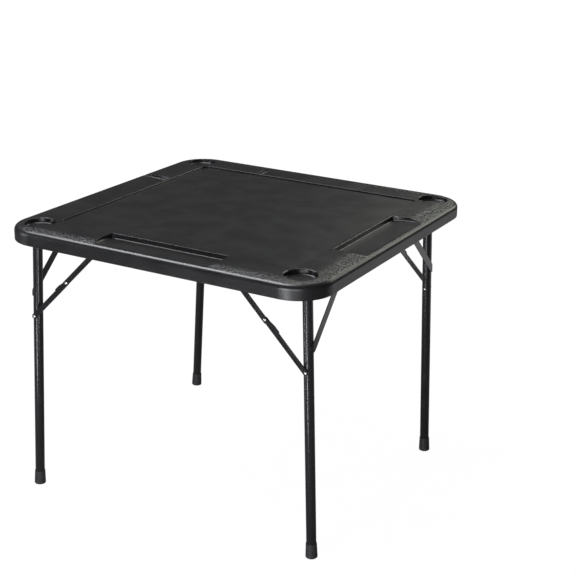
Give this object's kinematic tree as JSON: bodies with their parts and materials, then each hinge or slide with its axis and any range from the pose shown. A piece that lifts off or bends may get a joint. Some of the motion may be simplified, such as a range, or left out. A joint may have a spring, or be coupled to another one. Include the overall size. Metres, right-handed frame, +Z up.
{
  "type": "folding card table",
  "caption": "Square folding card table with a sunk playing field, counter trays and cup wells in its rim, on tubular leg frames that fold flat under the top on locking braces.",
  "frame": {"origin": "on the floor, under the middle of the top", "axes": "+Z up; +X from the left leg frame (legs wider apart) to the right one; Y along both leg frames, front at -Y"},
  "size_m": [0.864, 0.864, 0.711],
  "materials": {
    "hdpe_top": "fine moulded grain",
    "hdpe_underside": "moulded, matt",
    "powder_coat": "gloss powder coat",
    "zinc": "bright zinc plate",
    "pin_steel": "dull zinc plate",
    "black_screw": "black zinc plate",
    "rubber_cap": "satin moulded"
  },
  "bodies": {
    "tabletop": {"tabletop_upper_skin": "hdpe_top", "tabletop_lower_skin": "hdpe_underside", "centre_bar": "powder_coat", "pivot_bracket_screws": "zinc", "centre_bar_screws": "zinc", "brace_bracket_screws": "black_screw", "brace_top_rivets": "zinc", "left_crossbar_strap": "powder_coat", "left_front_pivot_bracket": "powder_coat", "left_front_brace_bracket": "powder_coat", "left_back_pivot_bracket": "powder_coat", "left_back_brace_bracket": "powder_coat", "right_crossbar_strap": "powder_coat", "right_front_pivot_bracket": "powder_coat", "right_front_brace_bracket": "powder_coat", "right_back_pivot_bracket": "powder_coat", "right_back_brace_bracket": "powder_coat"},
    "left_leg_frame": {"left_crossbar": "powder_coat", "left_pivot_pins": "pin_steel", "left_leg_rivets": "zinc", "left_spacers": "zinc", "left_front_leg": "powder_coat", "left_front_foot_cap": "rubber_cap", "left_front_gusset": "powder_coat", "left_back_leg": "powder_coat", "left_back_foot_cap": "rubber_cap", "left_back_gusset": "powder_coat"},
    "left_front_lower_brace": {"left_front_lower_link": "powder_coat", "left_front_knee_tail": "zinc"},
    "left_front_upper_brace": {"left_front_upper_link": "powder_coat", "left_front_knee_rivet": "zinc"},
    "left_back_lower_brace": {"left_back_lower_link": "powder_coat", "left_back_knee_tail": "zinc"},
    "left_back_upper_brace": {"left_back_upper_link": "powder_coat", "left_back_knee_rivet": "zinc"},
    "right_leg_frame": {"right_crossbar": "powder_coat", "right_pivot_pins": "pin_steel", "right_leg_rivets": "zinc", "right_spacers": "zinc", "right_front_leg": "powder_coat", "right_front_foot_cap": "rubber_cap", "right_front_gusset": "powder_coat", "right_back_leg": "powder_coat", "right_back_foot_cap": "rubber_cap", "right_back_gusset": "powder_coat"},
    "right_front_lower_brace": {"right_front_lower_link": "powder_coat", "right_front_knee_tail": "zinc"},
    "right_front_upper_brace": {"right_front_upper_link": "powder_coat", "right_front_knee_rivet": "zinc"},
    "right_back_lower_brace": {"right_back_lower_link": "powder_coat", "right_back_knee_tail": "zinc"},
    "right_back_upper_brace": {"right_back_upper_link": "powder_coat", "right_back_knee_rivet": "zinc"}
  },
  "joints": [
    {"name": "left_frame_fold", "type": "hinge", "parent": "tabletop", "child": "left_leg_frame", "pos_m": [-0.362, 0, 0.68], "axis": [0, -1, 0], "range_deg": [0, 92.5]},
    {"name": "left_front_lower_pivot", "type": "hinge", "parent": "left_leg_frame", "child": "left_front_lower_brace", "pos_m": [-0.37103, -0.38915, 0.4732], "axis": [0, -1, 0], "range_deg": [0, 42.02]},
    {"name": "left_front_upper_pivot", "type": "hinge", "parent": "tabletop", "child": "left_front_upper_brace", "pos_m": [-0.168, -0.39195, 0.68], "axis": [0, -1, 0], "range_deg": [-45.58, 0]},
    {"name": "left_back_lower_pivot", "type": "hinge", "parent": "left_leg_frame", "child": "left_back_lower_brace", "pos_m": [-0.37103, 0.38915, 0.4732], "axis": [0, -1, 0], "range_deg": [0, 42.02]},
    {"name": "left_back_upper_pivot", "type": "hinge", "parent": "tabletop", "child": "left_back_upper_brace", "pos_m": [-0.168, 0.39195, 0.68], "axis": [0, -1, 0], "range_deg": [-45.58, 0]},
    {"name": "right_frame_fold", "type": "hinge", "parent": "tabletop", "child": "right_leg_frame", "pos_m": [0.362, 0, 0.68], "axis": [0, 1, 0], "range_deg": [0, 92.5]},
    {"name": "right_front_lower_pivot", "type": "hinge", "parent": "right_leg_frame", "child": "right_front_lower_brace", "pos_m": [0.37103, -0.34615, 0.4732], "axis": [0, 1, 0], "range_deg": [0, 42.02]},
    {"name": "right_front_upper_pivot", "type": "hinge", "parent": "tabletop", "child": "right_front_upper_brace", "pos_m": [0.168, -0.34895, 0.68], "axis": [0, 1, 0], "range_deg": [-45.58, 0]},
    {"name": "right_back_lower_pivot", "type": "hinge", "parent": "right_leg_frame", "child": "right_back_lower_brace", "pos_m": [0.37103, 0.34615, 0.4732], "axis": [0, 1, 0], "range_deg": [0, 42.02]},
    {"name": "right_back_upper_pivot", "type": "hinge", "parent": "tabletop", "child": "right_back_upper_brace", "pos_m": [0.168, 0.34895, 0.68], "axis": [0, 1, 0], "range_deg": [-45.58, 0]}
  ],
  "couplings": [
    {"joint": "left_front_lower_pivot", "follows": "left_frame_fold", "ratio": 0.45376},
    {"joint": "left_front_upper_pivot", "follows": "left_frame_fold", "ratio": -0.49219},
    {"joint": "left_back_lower_pivot", "follows": "left_frame_fold", "ratio": 0.45376},
    {"joint": "left_back_upper_pivot", "follows": "left_frame_fold", "ratio": -0.49219},
    {"joint": "right_front_lower_pivot", "follows": "right_frame_fold", "ratio": 0.45376},
    {"joint": "right_front_upper_pivot", "follows": "right_frame_fold", "ratio": -0.49219},
    {"joint": "right_back_lower_pivot", "follows": "right_frame_fold", "ratio": 0.45376},
    {"joint": "right_back_upper_pivot", "follows": "right_frame_fold", "ratio": -0.49219}
  ]
}
